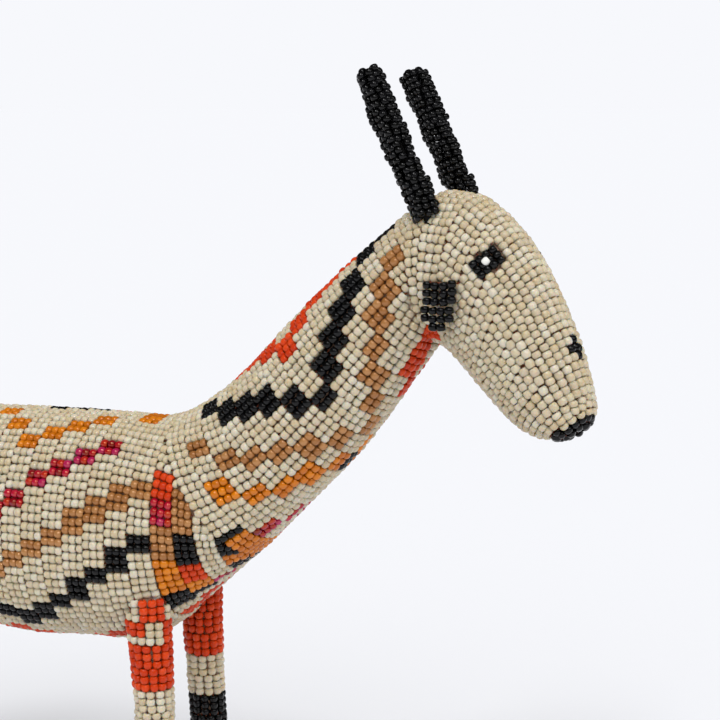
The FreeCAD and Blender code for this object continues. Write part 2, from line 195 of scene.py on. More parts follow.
def glass(name, shades, **finish):
    """One material for each shade of a bead colour, with fine unevenness in the glass."""
    return [roughened(plain(f"{name}_{i}", colour, **finish), "Noise", 900.0, 0.25, 0.0002)
            for i, colour in enumerate(shades)]


def cream_glass():
    """Pearly ivory, some beads whiter and some yellower."""
    shades = [(0.50, 0.435, 0.31), (0.525, 0.47, 0.355), (0.48, 0.405, 0.275), (0.51, 0.445, 0.33),
              (0.47, 0.41, 0.30), (0.55, 0.505, 0.405)]
    return glass("cream_glass", shades, roughness=0.11, specular=0.5, glow=0.8)


def black_glass():
    shades = [(0.0015, 0.0015, 0.0015), (0.0025, 0.0025, 0.003)]
    return glass("black_glass", shades, roughness=0.08, specular=0.28)


def orange_glass():
    """Opaque red-orange."""
    shades = [(0.51, 0.040, 0.005), (0.56, 0.052, 0.008), (0.46, 0.031, 0.004)]
    return glass("orange_glass", shades, roughness=0.14, specular=0.22, glow=0.4)


def white_glass():
    return glass("white_glass", [(0.72, 0.72, 0.68)], roughness=0.2, specular=0.5)


def amber_glass():
    """Clear amber with a silver lining, which shines through as gold."""
    shades = [(0.52, 0.145, 0.002), (0.59, 0.175, 0.002), (0.46, 0.12, 0.001)]
    return glass("amber_glass", shades, roughness=0.16, specular=0.4, metallic=0.1, coat=0.2)


def red_glass():
    """Clear ruby with a silver lining and a rainbow surface, so beads glint crimson, magenta and orange."""
    shades = [(0.37, 0.003, 0.009), (0.43, 0.005, 0.027), (0.22, 0.001, 0.004), (0.40, 0.009, 0.075),
              (0.42, 0.014, 0.004), (0.36, 0.003, 0.014)]
    return glass("red_glass", shades, roughness=0.12, specular=0.6, metallic=0.2, coat=0.6, film=420.0)


def tan_glass():
    """Light copper lustre."""
    shades = [(0.35, 0.15, 0.043), (0.40, 0.185, 0.06), (0.30, 0.12, 0.03), (0.38, 0.17, 0.052)]
    return glass("tan_glass", shades, roughness=0.2, specular=0.5, metallic=0.2, coat=0.2)


def woven(name, colour, dark, scale, roughness):
    """Cloth or leather: a fine grain of wavy bands mixed with noise, in a lighter and a darker tone."""
    material = bpy.data.materials.new(name)
    material.use_nodes = True
    nodes, links = material.node_tree.nodes, material.node_tree.links
    shader = nodes["Principled BSDF"]
    shader.inputs["Roughness"].default_value = roughness
    shader.inputs["Specular IOR Level"].default_value = 0.2
    place = nodes.new("ShaderNodeTexCoord")
    noise = nodes.new("ShaderNodeTexNoise")
    noise.inputs["Scale"].default_value = scale
    noise.inputs["Detail"].default_value = 4.0
    wave = nodes.new("ShaderNodeTexWave")
    wave.inputs["Scale"].default_value = scale
    wave.inputs["Distortion"].default_value = 2.0
    blend = nodes.new("ShaderNodeMix")
    blend.data_type = "FLOAT"
    blend.inputs[0].default_value = 0.5
    ramp = nodes.new("ShaderNodeValToRGB")
    ramp.color_ramp.elements[0].color = (*dark, 1)
    ramp.color_ramp.elements[1].color = (*colour, 1)
    ramp.color_ramp.elements[0].position = 0.3
    ramp.color_ramp.elements[1].position = 0.7
    links.new(place.outputs["Object"], noise.inputs["Vector"])
    links.new(place.outputs["Object"], wave.inputs["Vector"])
    links.new(noise.outputs["Fac"], blend.inputs[2])
    links.new(wave.outputs["Fac"], blend.inputs[3])
    links.new(blend.outputs[0], ramp.inputs["Fac"])
    links.new(ramp.outputs["Color"], shader.inputs["Base Color"])
    return material


# ---------------------------------------------------------------- beads

def bead_shape():
    """A round bead of diameter 1 and length 1 along X, with its hole: points and four-sided faces."""
    profile = [(0.17, -0.37), (0.27, -0.49), (0.375, -0.44), (0.46, -0.27), (0.50, 0.0),
               (0.46, 0.27), (0.375, 0.44), (0.27, 0.49), (0.17, 0.37)]
    sides = 12
    points = []
    for r, x in profile:
        for k in range(sides):
            a = 2 * math.pi * k / sides
            points.append((x, r * math.cos(a), r * math.sin(a)))
    faces = []
    for j in range(len(profile)):
        for k in range(sides):
            n, m = (k + 1) % sides, (j + 1) % len(profile)
            faces.append((j * sides + k, j * sides + n, m * sides + n, m * sides + k))
    return np.array(points), np.array(faces)


def strand_shape():
    """A thin five-sided rod of diameter 1 and length 1 along X, open at its ends."""
    sides = 5
    points = []
    for x in (-0.5, 0.5):
        for k in range(sides):
            a = 2 * math.pi * k / sides
            points.append((x, 0.5 * math.cos(a), 0.5 * math.sin(a)))
    faces = [(k, (k + 1) % sides, sides + (k + 1) % sides, sides + k) for k in range(sides)]
    return np.array(points), np.array(faces)


BEAD_FORM = bead_shape()
STRAND_FORM = strand_shape()


def frames_for(axes):
    """For each axis, a turning matrix whose first column is that axis."""
    helper = np.where(np.abs(axes[:, 2:3]) < 0.8, [[0.0, 0.0, 1.0]], [[1.0, 0.0, 0.0]])
    second = np.cross(axes, helper)
    second /= np.linalg.norm(second, axis=1, keepdims=True)
    third = np.cross(axes, second)
    return np.stack([axes, second, third], axis=2)


def stamped(name, form, beads, shades):
    """One mesh that repeats a form at each bead's centre, along its axis, at its length and width."""
    form_points, form_faces = form
    centres = np.array([b["centre"] for b in beads])
    axes = np.array([b["axis"] for b in beads])
    axes /= np.linalg.norm(axes, axis=1, keepdims=True)
    size = np.array([[b["long"], b["wide"], b["wide"]] for b in beads])
    turn = frames_for(axes)
    points = np.einsum("nij,nvj->nvi", turn, form_points[None] * size[:, None, :]) + centres[:, None, :]
    count, per = len(beads), len(form_points)
    faces = (form_faces[None] + per * np.arange(count)[:, None, None]).reshape(-1, 4)
    mesh = bpy.data.meshes.new(name)
    mesh.vertices.add(count * per)
    mesh.vertices.foreach_set("co", (points * MM).astype(np.float32).ravel())
    mesh.loops.add(faces.size)
    mesh.loops.foreach_set("vertex_index", faces.astype(np.int32).ravel())
    mesh.polygons.add(len(faces))
    mesh.polygons.foreach_set("loop_start", np.arange(0, faces.size, 4, dtype=np.int32))
    mesh.polygons.foreach_set("loop_total", np.full(len(faces), 4, np.int32))
    mesh.polygons.foreach_set("use_smooth", np.ones(len(faces), bool))
    for shade in shades:
        mesh.materials.append(shade)
    pick = rng.integers(0, len(shades), count)
    mesh.polygons.foreach_set("material_index", np.repeat(pick, len(form_faces)).astype(np.int32))
    mesh.update()
    mesh.validate()
    return mesh


# ---------------------------------------------------------------- finding the skin

class Skin:
    """The CAD skins with these names, as one search tree that knows which node each face is from."""

    def __init__(self, *names):
        points, faces, self.owner = [], [], []
        for name in names:
            mesh = frame["nodes"][name].data
            start = len(points)
            points += [v.co / MM for v in mesh.vertices]
            for face in mesh.polygons:
                faces.append([start + i for i in face.vertices])
                self.owner.append(name)
        self.tree = BVHTree.FromPolygons(points, faces)

    def outer(self, middle, direction):
        """Distance from middle to the outermost skin in that direction, and whose it is."""
        hit, _, face, far = self.tree.ray_cast(middle + direction * REACH, -direction, REACH)
        if hit is None:
            return None, None
        return REACH - far, self.owner[face]


TINY = 1e-9


def bridged(reach):
    """Distances in all directions round a middle, with every hollow bridged by a straight line."""
    angles = 2 * np.pi * np.arange(len(reach)) / len(reach)
    points = np.stack([reach * np.cos(angles), reach * np.sin(angles)], axis=1)
    level = reach.copy()
    half = len(reach) // 2
    for gap in range(2, half):
        ends = np.roll(points, -gap, axis=0)
        for step in range(1, gap):
            ray = np.roll(np.stack([np.cos(angles), np.sin(angles)], axis=1), -step, axis=0)
            run = ends - points
            crossing = ray[:, 0] * run[:, 1] - ray[:, 1] * run[:, 0]
            crossing = np.where(np.abs(crossing) < TINY, TINY, crossing)
            far = (points[:, 0] * run[:, 1] - points[:, 1] * run[:, 0]) / crossing
            level = np.maximum(level, np.roll(far, step))
    return level


class Ring:
    """The line of bead centres where a flat or conical cut meets the skin. It starts on the animal's right.

    A cut at the very end of a node is searched at shift along from there, and the line is then moved back."""

    def __init__(self, skin, middle, right, up, along, lean=0.0, shift=0.0, convex=False):
        middle, right, up, along = Vector(middle), Vector(right), Vector(up), Vector(along)
        middle = middle + along * shift
        reach, rays = [], []
        for k in range(RAYS):
            a = 2 * math.pi * k / RAYS
            flat = right * math.cos(a) + up * math.sin(a)
            direction = flat * math.cos(lean) + along * math.sin(lean)
            rays.append(direction)
            reach.append(skin.outer(middle, direction)[0])
        known = [r for r in reach if r is not None]
        self.empty = not known
        if self.empty:
            return
        usual = float(np.median(known))
        self.seen = np.array([r is not None and r > HOLE_BELOW * usual for r in reach])
        if not self.seen.any():
            self.empty = True
            return
        index = np.arange(RAYS)
        values = np.array([r if ok else 0.0 for r, ok in zip(reach, self.seen)])
        filled = np.interp(index, index[self.seen], values[self.seen], period=RAYS)
        if convex:
            filled = bridged(filled)
        points = [middle + d * (r - BEAD / 2) - along * shift for d, r in zip(rays, filled)]
        points.append(points[0])
        self.points = np.array(points)
        steps = np.linalg.norm(np.diff(self.points, axis=0), axis=1)
        self.length = float(steps.sum())
        self.share = np.concatenate([[0.0], np.cumsum(steps)]) / self.length
        self.middle = np.array(middle)

    def at(self, t):
        return np.array([np.interp(t % 1.0, self.share, self.points[:, i]) for i in range(3)])

    def open_at(self, t):
        """True where the skin has a hole there, such as the top of a leg."""
        k = int(np.searchsorted(self.share, t % 1.0)) % RAYS
        return not self.seen[k]


def clipped(a, b, limits):
    """The stretch of the line from a to b, as shares, that is in front of every (point, normal) plane."""
    low, high = 0.0, 1.0
    for point, normal in limits:
        da, db = float(np.dot(a - point, normal)), float(np.dot(b - point, normal))
        if da < 0 and db < 0:
            return 0.0, 0.0
        if da < 0:
            low = max(low, da / (da - db))
        elif db < 0:
            high = min(high, da / (da - db))
    return low, max(low, high)


def sticks(rings, limits=(), row=ROW, long=LONG, skip_open=False, first=0):
    """Sticks of beads from each ring to the next, each set halfway between the sticks before it.

    With skip_open, a stick with both ends over a hole is left out, and one with one end there is marked."""
    found = []
    for k, (a, b) in enumerate(zip(rings, rings[1:])):
        if a.empty or b.empty:
            continue
        count = max(3, round((a.length + b.length) / 2 / row))
        for i in range(count):
            t = (i + 0.5 * ((k + first) % 2)) / count
            holes = [skip_open and ring.open_at(t) for ring in (a, b)]
            if all(holes):
                continue
            start, end = a.at(t), b.at(t)
            low, high = clipped(start, end, limits)
            span = float(np.linalg.norm(end - start)) * (high - low)
            beads = round(span / long)
            if beads < 1:
                if span < SHORTEST_STICK * long:
                    continue
                beads = 1
            found.append({"ring": k, "of": count, "share": t, "beads": beads, "half_open": any(holes),
                          "start": start + (end - start) * low, "end": start + (end - start) * high,
                          "out": (start + end - a.middle - b.middle) / 2})
    return found


def strung(stick, wide=WIDE, loose=1.0):
    """The beads of one stick, each a little out of line and out of size."""
    along = stick["end"] - stick["start"]
    span = float(np.linalg.norm(along))
    axis = along / span
    out = stick["out"] - axis * float(np.dot(stick["out"], axis))
    out = out / max(float(np.linalg.norm(out)), 1e-6)
    side = np.cross(axis, out)
    step = span / stick["beads"]
    slide = axis * rng.normal(0, STICK_SLIDE * loose)
    slide = slide + out * rng.normal(0, STICK_LIFT * loose) + side * rng.normal(0, STICK_SHIFT * loose)
    beads = []
    for j in range(stick["beads"]):
        centre = stick["start"] + axis * step * (j + 0.5) + slide
        centre = centre + out * rng.normal(0, BEAD_LIFT * loose) + side * rng.normal(0, BEAD_SHIFT * loose)
        lean = axis + side * rng.normal(0, BEAD_LEAN * loose) + out * rng.normal(0, BEAD_LEAN * loose)
        width = float(np.clip(rng.normal(1.0, WIDTH_SPREAD), *WIDTH_RANGE))
        length = float(np.clip(rng.normal(1.0, LENGTH_SPREAD), *LENGTH_RANGE))
        beads.append({"centre": centre, "axis": lean, "wide": wide * width,
                      "long": min(step, LONGEST_BEAD * LONG) * length,
                      "out": out, "colour": stick.get("colour", "cream"), "stick": stick})
    return beads


# ---------------------------------------------------------------- trunk, head, legs and horns

def cuts_between(lines, spacing):
    """Lines (top, bottom) spread evenly between guide lines, about spacing apart at the middle."""
    guides = [np.array(line, float) for line in lines]
    travel = [0.0]
    for a, b in zip(guides, guides[1:]):
        travel.append(travel[-1] + float(np.linalg.norm(b.mean(0) - a.mean(0))))
    count = max(1, round(travel[-1] / spacing))
    cuts = []
    for k in range(count + 1):
        s = travel[-1] * k / count
        ends = [[np.interp(s, travel, [g[i][j] for g in guides]) for j in range(2)] for i in range(2)]
        cuts.append(np.array(ends))
    return cuts


def ring_on_line(skin, line, turn=None, shift=0.0):
    """The ring in the upright-edged plane through a line from top to bottom in the XZ plane."""
    top, bottom = Vector((line[0][0], 0, line[0][1])), Vector((line[1][0], 0, line[1][1]))
    middle, up = (top + bottom) / 2, (top - bottom).normalized()
    right, along = TO_RIGHT, Vector((up.z, 0, -up.x))
    if turn:
        middle, up, right, along = turn(middle, True), turn(up), turn(right), turn(along)
    return Ring(skin, middle, right, up, along, shift=shift)


def dome_rings(skin, middle, right, up, along, leans):
    """Conical rings round one middle, for a rounded end."""
    return [Ring(skin, middle, right, up, along, math.radians(lean)) for lean in leans]


TRUNK_SKIN = Skin("body_beads", "neck_beads", "left_shoulder_gusset_beads",
                  "right_shoulder_gusset_beads")
SHOULDER_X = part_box("body_beads")[1].x / MM
TRUNK_Z = 125.0          # a height inside the trunk, over every leg
RUMP_X = -110.0          # behind this the rings fan round the rump
NECK_SEAM = (np.array((25.8, 0.0, 150.0)), math.radians(33.0))
THROAT = np.array((108.8, 0.0, 193.0))
POLL_TILT = math.radians(8.0)
HEAD_TURN = math.radians(16.0)
NECK_LINES = [((14.9, 166.8), (41.0, 126.5)), ((31.9, 172.4), (62.1, 135.0)),
              ((46.2, 185.2), (78.4, 151.8)), ((63.6, 203.4), (95.4, 173.6)),
              ((86.5, 224.6), (113.8, 198.0)), ((97.0, 233.2), (121.8, 204.5)),
              ((108.8, 240.8), (129.8, 211.0))]
HEAD_LINES = [((92.8, 233.5), (102.8, 187.0)), ((103.8, 238.8), (108.3, 192.3)),
              ((120.8, 240.9), (114.8, 191.0)), ((133.2, 233.0), (120.3, 186.5)),
              ((148.3, 213.6), (129.6, 177.2)), ((158.8, 192.3), (139.4, 168.9)),
              ((162.2, 182.7), (144.8, 167.0))]


def tilted(tilt, turn=0.0):
    """The forward normal of an upright plane leaned back by tilt and turned to the animal's right."""
    return np.array((math.cos(tilt) * math.cos(turn), -math.cos(tilt) * math.sin(turn), math.sin(tilt)))


SHOULDER_CUT = SHOULDER_X - 0.9   # the body's bead columns meet the gussets' here
GUSSET_CUTS = (0.0, 7.0, 13.2, 19.0, 24.2, 29.0, 33.5)  # ahead of there, closer where the chest curves in
GUSSET_Z = 136.0         # middle of the first gusset ring
GUSSET_FALL = 1.2        # each ring's middle is this much lower
RUMP_LEANS = (12, 24, 37, 50, 63, 76, 88)   # degrees back from the last upright ring
MUZZLE_LEANS = (24, 50, 76)
SHOULDER = np.array((SHOULDER_CUT, 0.0, 0.0))
NECK_AHEAD = tilted(NECK_SEAM[1])
POLL_AHEAD = tilted(POLL_TILT, HEAD_TURN / 2)


def head_turned(v, is_place=False):
    """A place or a direction of the straight head, after the head's turn."""
    pivot = Vector((THROAT[0], 0, 0)) if is_place else Vector((0, 0, 0))
    v = v - pivot
    c, s = math.cos(-HEAD_TURN), math.sin(-HEAD_TURN)
    return Vector((v.x * c - v.y * s, v.x * s + v.y * c, v.z)) + pivot


def body_sticks():
    count = round((SHOULDER_CUT - RUMP_X) / STICK)
    rings = []
    for k in range(count + 1):
        x = SHOULDER_CUT + (RUMP_X - SHOULDER_CUT) * k / count
        middle = (x, 0, TRUNK_Z)
        rings.append(Ring(TRUNK_SKIN, middle, TO_RIGHT, UP, FORWARD, shift=-INSET, convex=True))
    leans = [-lean for lean in RUMP_LEANS]
    rings += dome_rings(TRUNK_SKIN, (RUMP_X, 0, TRUNK_Z), TO_RIGHT, UP, FORWARD, leans)
    return sticks(rings)


def gusset_sticks():
    rings = []
    for k, ahead in enumerate(GUSSET_CUTS):
        middle = (SHOULDER_CUT + ahead, 0, GUSSET_Z - GUSSET_FALL * k)
        rings.append(Ring(TRUNK_SKIN, middle, TO_RIGHT, UP, FORWARD, shift=INSET))
    return sticks(rings, [(NECK_SEAM[0], -NECK_AHEAD)], first=1)


def neck_sticks():
    rings = [ring_on_line(TRUNK_SKIN, line, shift=INSET) for line in cuts_between(NECK_LINES, STICK)]
    return sticks(rings, [(SHOULDER, FORWARD), (NECK_SEAM[0], NECK_AHEAD), (THROAT, -POLL_AHEAD)])


HEAD_SKIN = Skin("head_beads", "nose_beads", "left_eye_beads", "right_eye_beads",
                 "left_pupil_bead", "right_pupil_bead", "left_nostril_beads", "right_nostril_beads")
MUZZLE_TOP, MUZZLE_BOTTOM = (Vector((x, 0, z)) for x, z in HEAD_LINES[-1])
MUZZLE_UP = (MUZZLE_TOP - MUZZLE_BOTTOM).normalized()
MUZZLE_AHEAD = head_turned(Vector((MUZZLE_UP.z, 0, -MUZZLE_UP.x)))


def head_sticks():
    rings = [ring_on_line(HEAD_SKIN, line, head_turned) for line in cuts_between(HEAD_LINES, STICK)]
    middle = head_turned((MUZZLE_TOP + MUZZLE_BOTTOM) / 2, True)
    right, up = head_turned(TO_RIGHT), head_turned(MUZZLE_UP)
    rings += dome_rings(HEAD_SKIN, middle, right, up, MUZZLE_AHEAD, MUZZLE_LEANS)
    return sticks(rings, [(THROAT, POLL_AHEAD)])


# Each leg's middle line: x and y at its top, and its lean along x for each mm down
LEGS = {"right_front": (13.8, -20.0, 0.05), "left_front": (13.8, 20.0, 0.05),
        "right_hind": (-111.7, -20.0, -0.05), "left_hind": (-111.7, 20.0, -0.05)}
LEG_TOP = 114.0
LEG_CORE = 4.6           # radius inside the leg beads
LEG_COVERED = 7.6        # the body's beads run this far down over a leg's top
LEG_ROW = 3.0
LEG_CUTS = (114, 106.3, 98.7, 91, 83, 75, 67.7, 60.5, 53.2, 46, 39, 32, 25, 18, 9.8, 1.6)


def leg_middle(name, z):
    x, y, lean = LEGS[name]
    return (x + lean * (LEG_TOP - z), y, z)


def leg_sticks(name):
    skin = Skin(*[f"{name}_leg_{c}_beads" for c in ("orange", "cream", "black")])
    rings = []
    for z in LEG_CUTS:
        inside = min(max(z, LEG_CUTS[-1]) + INSET, LEG_CUTS[0] - INSET)
        rings.append(Ring(skin, leg_middle(name, inside), TO_RIGHT, FORWARD, -UP))
    return sticks(rings, row=LEG_ROW, skip_open=True), skin


HORN_ROOT = Vector((112.8, 12.5, 231.5))
HORN_TIP = Vector((89.4, 12.5, 277.4))
HORN_FOOT = 1.6          # the beads start this far up from where the horn meets the lining
HORN_RADIUS = 3.5
HORN_STICK = 6.2
HORN_ROW = 2.5
HORN_LONG = 2.05
HORN_BEAD = 2.65
HORN_LOOSE = 3.0         # times as uneven as elsewhere
CAP_BEADS = 4
CAP_FROM = 25            # degrees round the tip
CAP_RADIUS, CAP_WIDE, CAP_LONG = 2.3, 2.8, 2.2
CAP_SINK, CAP_STAGGER, CAP_LEAN = 0.9, 0.35, 0.2
SIDES = {"right": -1, "left": 1}


def horn_line(side):
    """The root and tip of a horn."""
    return [head_turned(Vector((p.x, side * p.y, p.z)), True) for p in (HORN_ROOT, HORN_TIP)]


class RoundRing:
    """A ring of a straight round tube, with the same calls as a ring on a skin."""
    empty = False

    def __init__(self, middle, right, up, radius):
        self.middle, self.right, self.up, self.radius = (np.array(v) for v in (middle, right, up, radius))
        self.length = 2 * math.pi * radius

    def at(self, t):
        a = 2 * math.pi * t
        return self.middle + (self.right * math.cos(a) + self.up * math.sin(a)) * self.radius


def tube_rings(start, end, radius, spacing):
    """Rings along a straight tube whose beads' middles lie at this radius."""
    along = (end - start).normalized()
    up = along.cross(TO_RIGHT).normalized()
    right = up.cross(along)
    count = round((end - start).length / spacing)
    return [RoundRing(start.lerp(end, k / count), right, up, radius) for k in range(count + 1)]


def horn_sticks(name):
    start, end = horn_line(SIDES[name])
    start = start + (end - start).normalized() * HORN_FOOT
    return sticks(tube_rings(start, end, HORN_RADIUS, HORN_STICK), row=HORN_ROW, long=HORN_LONG)


def horn_cap(name):
    """Beads that stand on a horn's tip."""
    start, end = horn_line(SIDES[name])
    along = (end - start).normalized()
    side = along.cross(FORWARD).normalized()
    front = side.cross(along)
    beads = []
    for k in range(CAP_BEADS):
        a = math.radians(360 / CAP_BEADS * k + CAP_FROM)
        out = side * math.cos(a) + front * math.sin(a)
        sink = CAP_SINK - CAP_STAGGER * k % 1
        beads.append({"centre": np.array(end + out * CAP_RADIUS - along * sink),
                      "axis": np.array(out.cross(along) + along * CAP_LEAN * (k - (CAP_BEADS - 1) / 2)),
                      "wide": CAP_WIDE, "long": CAP_LONG})
    return beads


TAIL_ROOT = Vector((-136.2, 0, 140.0))
TAIL_TIP = Vector((-158.2, 0, 104.0))
TAIL_RADIUS, TAIL_STICK, TAIL_ROW = 2.9, 7.0, 2.8
TAIL_BLACK_FROM = 4      # ring


def tail_sticks():
    return sticks(tube_rings(TAIL_ROOT, TAIL_TIP, TAIL_RADIUS, TAIL_STICK), row=TAIL_ROW)


# Sticks on an ear: forward of its middle, first bead below the hinge, number of beads
EAR_STICKS = [(-4.4, 0.0, 3), (-1.5, 0.1, 3), (1.7, -0.1, 3), (4.6, -0.9, 3),
              (-5.0, 7.5, 2), (-2.1, 7.7, 3), (0.8, 7.6, 3), (3.7, 7.2, 2)]
EAR_ROW = 2.45
EAR_BEAD = 2.95
EAR_THREAD = 4.9         # from the ear's middle to where its thread turns into the head
EAR_THREAD_DEEP = 4.0
EAR_BELOW = 0.9          # the ear's first beads hang this far below its hinge
EAR_LIFT = 0.12          # unevenness, as a standard deviation
EAR_TURN, EAR_TIP_OUT = 0.12, 0.08
EAR_WIDTHS, EAR_LENGTHS = (0.96, 1.05), (0.92, 1.0)


def ear_frame(name):
    """The middle of an ear's hinge line, the way that line runs and the way out of the head."""
    joint = [j for j in frame["joints"] if j["child"] == f"{name}_ear"][0]
    out = head_turned(Vector((0, SIDES[name], 0)))
    return Vector(joint["pos_m"]) / MM, head_turned(FORWARD), out


def ear_threads(name):
    """The thread through an ear's top row of beads and back into the head at both ends."""
    hinge, forward, out = ear_frame(name)
    ends = [hinge + forward * (EAR_THREAD * k) for k in (-1, 1)]
    roots = [end - out * EAR_THREAD_DEEP for end in ends]
    strands = []
    for a, b in ((roots[0], ends[0]), (ends[0], ends[1]), (ends[1], roots[1])):
        strands.append({"start": np.array(a), "end": np.array(b)})
    return strands


def ear_beads(name):
    hinge, forward, out = ear_frame(name)
    beads = []
    for ahead, below, count in EAR_STICKS:
        for j in range(count):
            down = Vector((0, 0, EAR_BELOW + below + EAR_ROW * j))
            centre = hinge + forward * ahead - down + out * rng.normal(0, EAR_LIFT)
            lean = UP + forward * rng.normal(0, EAR_TURN) + out * rng.normal(0, EAR_TIP_OUT)
            beads.append({"centre": np.array(centre), "axis": np.array(lean),
                          "wide": EAR_BEAD * rng.uniform(*EAR_WIDTHS),
                          "long": EAR_ROW * rng.uniform(*EAR_LENGTHS),
                          "node": f"{name}_ear", "colour": "black"})
    return beads


# ---------------------------------------------------------------- bead charts

# Lines as colour, half width in sticks, and corners (ring, row). Rings count from the family's first seam,
# and rows from mid-height, upwards. Both sides have the same lines.
BODY_LINES = [
    ("amber", 1.0, [(3, 16.2), (6, 11.3), (9, 19.0), (14, 11.5), (17, 19.0), (22, 11.5)]),
    ("amber", 1.5, [(0.7, 18.0), (1.3, 18.0)]),
    ("red", 1.0, [(2, 11.5), (7, 3.2), (10, 9.6), (15, 3.2), (18, 9.6), (23, 3.2)]),
    ("tan", 1.2, [(0, 7.2), (7.7, -5.2), (11, 2.0), (16, -5.2), (19, 2.0), (23, -4.0)]),
    ("black", 1.3, [(0, 0.6), (5, -9.3), (6, -11.0), (9, -8.0), (14, -11.5), (17, -8.0), (22, -11.5)]),
    ("orange", 1.0, [(0, -8.6), (1, -11.8), (2.5, -14.0), (4.5, -18.0), (7, -14.0), (9.5, -18.0), (12, -14.0),
                     (14.5, -18.0), (17, -14.0), (19, -18.0)]),
]
FULL_RING = 74           # sticks in a ring of the body's middle, which its rows are counted in
BACK_LINE = ("black", 1.0, [(3.6, 20.2), (6.4, 19.6)])  # this one crosses to the left of the back
NECK_LINES_OF_BEADS = [
    ("black", 1.5, [(1.6, 8.8), (2, 8.0), (3, 5.7), (5, 2.5), (7, -2.0), (8, -0.2), (10, 3.2), (13, 8.2)]),
    ("orange", 1.4, [(4, 10.8), (5, 9.8), (7, 5.5), (8, 7.0), (9, 8.2), (11, 9.4)]),
    ("tan", 1.2, [(1, 3.0), (2, 0.6), (4, -2.6), (6, -6.3), (7, -8.8), (8, -6.5), (10, -2.2), (13, 2.8)]),
    ("amber", 1.2, [(1, -2.5), (2, -4.6), (4, -7.2), (5, -9.5), (6, -11.5)]),
    ("black", 0.8, [(5, -11.3), (5.4, -11.3)]),
    ("orange", 1.3, [(8.6, -10.5), (10, -8.2), (12, -7.0)]),
    ("red", 1.1, [(1, -10.0), (1.4, -10.0)]),
    ("red", 0.7, [(2, -10.8), (2.4, -10.8)]),
    ("amber", 2.4, [(0, -11.0), (0.4, -11.0)]),
    ("black", 0.7, [(0, -8.0), (0.4, -8.0)]),
]
HEAD_LINES_OF_BEADS = [("orange", 1.2, [(1, -7.2), (2.4, -6.6)])]
# Blocks in each gusset column, from the seam forwards: colour, lowest row and highest row
GUSSET_BLOCKS = [
    [("orange", 2.0, 5.2), ("red", -1.0, 1.9), ("tan", -5.0, -1.1), ("amber", -10.0, -5.1),
     ("black", -13.5, -10.1), ("orange", -16.5, -14.6)],
    [("tan", -1.3, 3.6), ("black", -5.4, -1.5), ("orange", -8.4, -5.5), ("amber", -10.4, -8.5),
     ("black", -11.4, -10.5), ("orange", -14.5, -12.6)],
    [("orange", -6.4, -5.6), ("red", -10.4, -8.6), ("orange", -13.0, -11.6)],
    [("black", -4.6, 0.0), ("amber", -6.6, -4.7), ("black", -8.6, -6.7)],
    [("black", -3.0, 0.0), ("amber", -6.6, -3.1), ("black", -8.6, -6.7)],
    [("amber", -8.0, 0.0)],
]


def row_of(stick):
    """Rows above mid-height on whichever side the stick is."""
    t = (stick["share"] + 0.25) % 1.0 - 0.25
    return (t if t < 0.25 else 0.5 - t) * stick["of"]


def on_line(ring, row, half_width, corners):
    rings, rows = zip(*corners)
    return rings[0] - 0.5 <= ring <= rings[-1] + 0.5 and abs(row - np.interp(ring, rings, rows)) <= half_width


def paint_lines(found, lines, full=None):
    for stick in found:
        row = row_of(stick) * (full / stick["of"] if full else 1.0)
        for colour, half_width, corners in lines:
            if on_line(stick["ring"], row, half_width, corners):
                stick["colour"] = colour
    return found


def paint_body(found):
    paint_lines(found, BODY_LINES, FULL_RING)
    colour, half_width, corners = BACK_LINE
    for stick in found:
        if on_line(stick["ring"], stick["share"] * FULL_RING, half_width, corners):
            stick["colour"] = colour
    return found


def paint_gussets(found):
    for stick in found:
        row = row_of(stick)
        for colour, low, high in GUSSET_BLOCKS[stick["ring"]]:
            if low <= row <= high:
                stick["colour"] = colour
    return found


# ---------------------------------------------------------------- making pieces

SHADES = {"cream": cream_glass, "black": black_glass, "orange": orange_glass, "white": white_glass,
          "amber": amber_glass, "red": red_glass, "tan": tan_glass}
shades_made = {}
MOST_BEADS = 900         # in one piece
BELOW_BEAD = 2.0         # the search for the skin over a bead starts this far under its middle
THREAD = 0.45            # thickness
THREAD_OVER = 1.0        # thread past a stick's ends, together


def shades_of(colour):
    if colour not in shades_made:
        shades_made[colour] = SHADES[colour]()
    return shades_made[colour]


def make_pieces(beads, body="figure"):
    """Beads grouped by CAD node and colour into pieces that stand for the node."""
    groups = {}
    for bead in beads:
        groups.setdefault((bead["node"], bead["colour"]), []).append(bead)
    for (node, colour), members in sorted(groups.items()):
        parts = math.ceil(len(members) / MOST_BEADS)
        for k in range(parts):
            own = members[k * len(members) // parts:(k + 1) * len(members) // parts]
            name = f"{node.replace('_beads', '').replace('_bead', '')}_{colour}_beads_{k + 1}"
            piece = bpy.data.objects.new(name, stamped(name, BEAD_FORM, own, shades_of(colour)))
            bpy.context.scene.collection.objects.link(piece)
            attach(piece, body)
            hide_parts(node)


def make_thread(name, found, node=None):
    """The thread through the sticks of beads, showing where they part."""
    strands = []
    for stick in found:
        along = stick["end"] - stick["start"]
        span = float(np.linalg.norm(along))
        strands.append({"centre": (stick["start"] + stick["end"]) / 2, "axis": along,
                        "long": span + THREAD_OVER, "wide": THREAD})
    piece = bpy.data.objects.new(name, stamped(name, STRAND_FORM, strands, [thread_shade()]))
    bpy.context.scene.collection.objects.link(piece)
    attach(piece, "figure")
    if node:
        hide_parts(node)


def thread_shade():
    if "thread" not in shades_made:
        thread = plain("rust_thread", (0.17, 0.035, 0.012), 0.7, 0.3)
        shades_made["thread"] = roughened(thread, "Wave", 1500.0, 0.6, 0.0001)
    return shades_made["thread"]


def owned(beads, skin, otherwise):
    """Gives each bead the CAD node whose skin lies over it, or the one named otherwise."""
    for bead in beads:
        direction = Vector(bead["out"])
        _, owner = skin.outer(Vector(bead["centre"]) - direction * BELOW_BEAD, direction)
        bead["node"] = owner or otherwise


